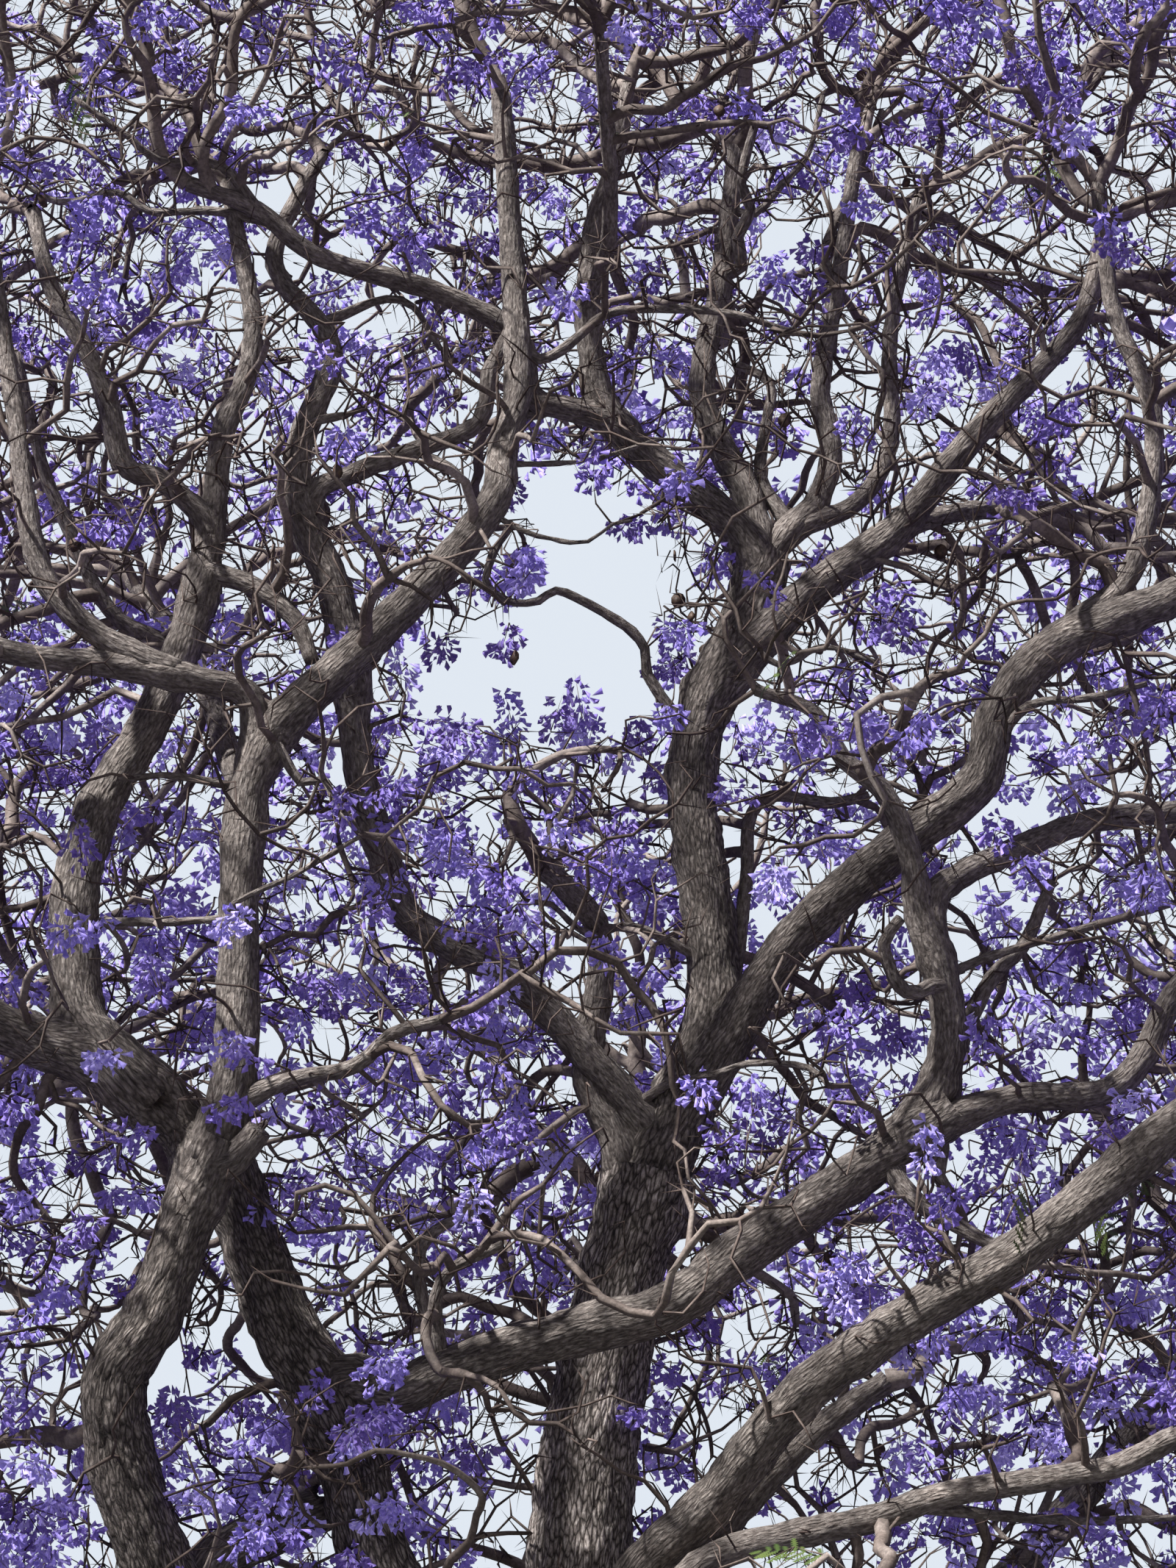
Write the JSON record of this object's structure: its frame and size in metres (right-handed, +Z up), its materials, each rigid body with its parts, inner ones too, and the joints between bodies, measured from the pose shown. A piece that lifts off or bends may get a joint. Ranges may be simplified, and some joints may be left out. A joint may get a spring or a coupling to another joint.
{
  "type": "jacaranda tree",
  "caption": "Broad jacaranda tree in full bloom: a low-forking trunk, long rising boughs and masses of violet-blue blossom on bare wiry twigs.",
  "frame": {"origin": "middle of the flat cut under the trunk, at ground level", "axes": "+Z up; +X to the right and +Y away as the tree is seen from its front"},
  "size_m": [14.4112, 12.0896, 11.1425],
  "materials": {
    "bark": "rough, scaly grey-brown bark",
    "blossom": "soft violet-blue blossom on twigs"
  },
  "bodies": {
    "root": {"back_left": "blossom", "back_middle": "blossom", "back_right": "blossom", "back_top_left": "blossom", "back_top_right": "blossom", "broken_limb": "bark", "centre_leader": "bark", "crossing_bough": "bark", "crossing_bough_end": "bark", "dark_left_bough": "bark", "forked_limb": "bark", "front_bough_left": "bark", "front_bough_right": "bark", "front_left": "blossom", "front_right": "blossom", "front_top_bough": "bark", "hidden_leader": "bark", "high_centre": "blossom", "high_leader": "bark", "hooked_bough": "bark", "inner_centre": "blossom", "left_bough": "bark", "left_fork": "bark", "left_high": "blossom", "left_leader": "bark", "left_low": "blossom", "left_stem": "bark", "left_stem_top": "bark", "left_upright": "bark", "level_bough": "bark", "low_left": "blossom", "low_left_leader": "bark", "low_right": "blossom", "low_right_bough": "bark", "lower_right_bough": "bark", "lowest_right_bough": "bark", "middle_bough": "bark", "middle_fork": "bark", "pale_stem": "bark", "pale_stem_right": "bark", "rear_bough_middle": "bark", "rear_bough_right": "bark", "rear_top_left": "bark", "rear_top_right": "bark", "right_fork": "bark", "right_high": "blossom", "right_low": "blossom", "right_skirt": "blossom", "right_upright": "bark", "rising_bough": "bark", "sinuous_limb": "bark", "sinuous_limb_top": "bark", "sweeping_bough": "bark", "top_centre": "blossom", "top_front": "blossom", "top_left": "blossom", "top_left_bough": "bark", "top_right": "blossom", "trunk": "bark", "upright_stem": "bark"}
  },
  "joints": []
}
